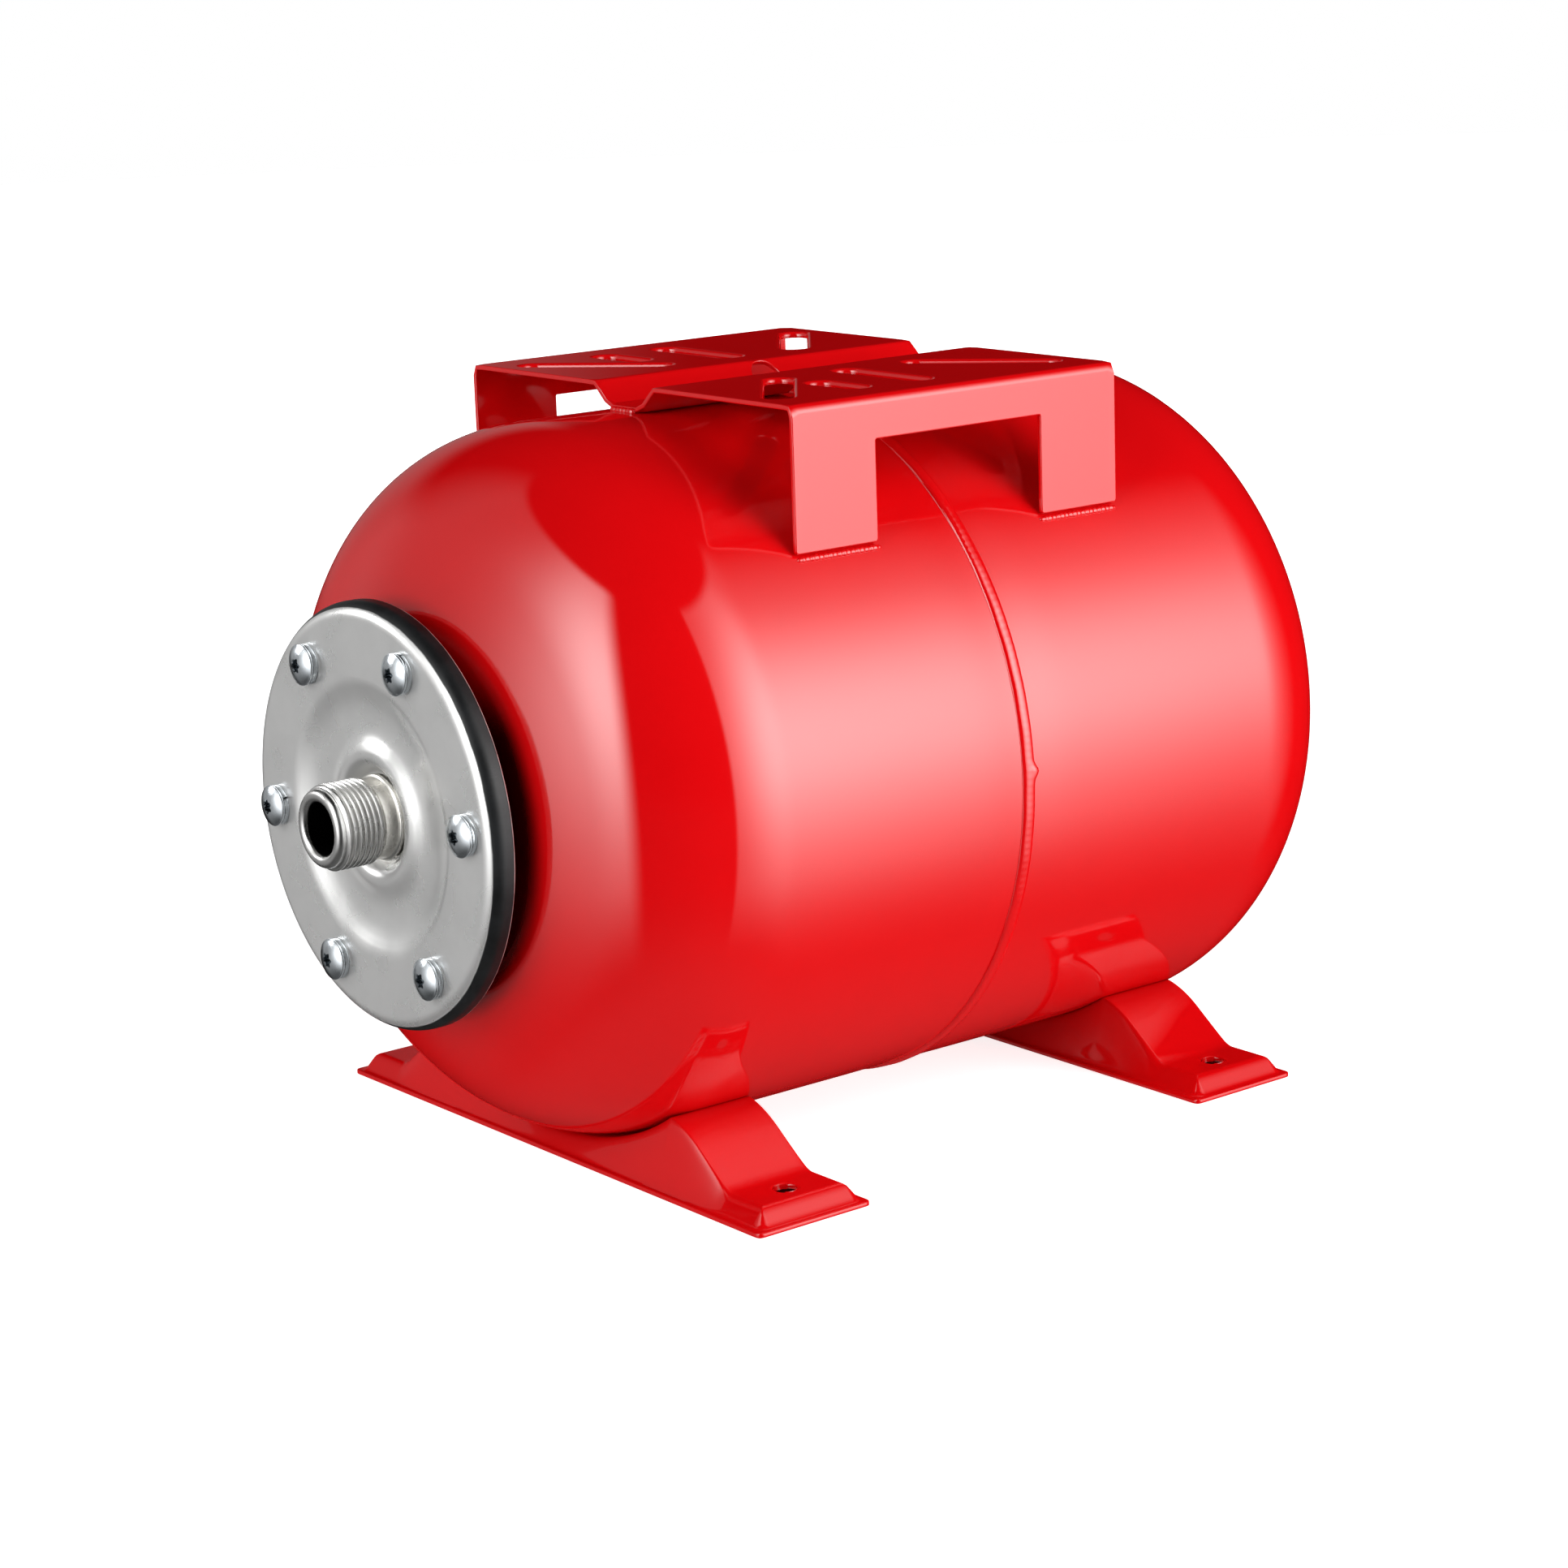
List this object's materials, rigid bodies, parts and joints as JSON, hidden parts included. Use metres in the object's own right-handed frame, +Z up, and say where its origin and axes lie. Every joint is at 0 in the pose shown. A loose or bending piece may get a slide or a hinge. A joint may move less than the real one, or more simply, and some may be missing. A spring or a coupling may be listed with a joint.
{
  "type": "horizontal membrane pressure tank",
  "caption": "Horizontal steel pressure tank with a membrane, a bolted inlet flange with a threaded nipple, pressed feet and a slotted top bracket for a pump.",
  "frame": {"origin": "on the floor under the feet, midway between the nipple tip and the rear end of the valve cover, on the tank's middle plane; x = 0 is also the plane of the girth seam", "axes": "X along the tank axis with the water inlet at -X and the air valve at +X, Y across the tank, Z up"},
  "size_m": [0.4588, 0.283, 0.2985],
  "materials": {
    "red_paint": "smooth gloss red powder coat with soft sheen",
    "flange_steel": "satin drawn stainless sheet with fine scratches",
    "nipple_steel": "turned steel, bright",
    "zinc_screws": "bluish zinc plating",
    "membrane_rubber": "matt black rubber",
    "valve_brass": "turned brass",
    "cover_plastic": "matt black moulded plastic"
  },
  "bodies": {
    "root": {"front_shell": "red_paint", "rear_shell": "red_paint", "seam_weld": "red_paint", "neck_ring": "red_paint", "neck_ring_weld": "red_paint", "membrane": "membrane_rubber", "counter_flange": "flange_steel", "inlet_nipple": "nipple_steel", "nipple_weld": "nipple_steel", "flange_screws": "zinc_screws", "spring_washers": "zinc_screws", "top_bracket": "red_paint", "bracket_welds": "red_paint", "front_foot": "red_paint", "rear_foot": "red_paint", "valve_boss": "red_paint", "boss_weld": "red_paint", "valve_stem": "valve_brass", "valve_gasket": "membrane_rubber", "valve_core": "valve_brass", "dust_cap": "cover_plastic", "valve_cover": "cover_plastic"}
  },
  "joints": []
}
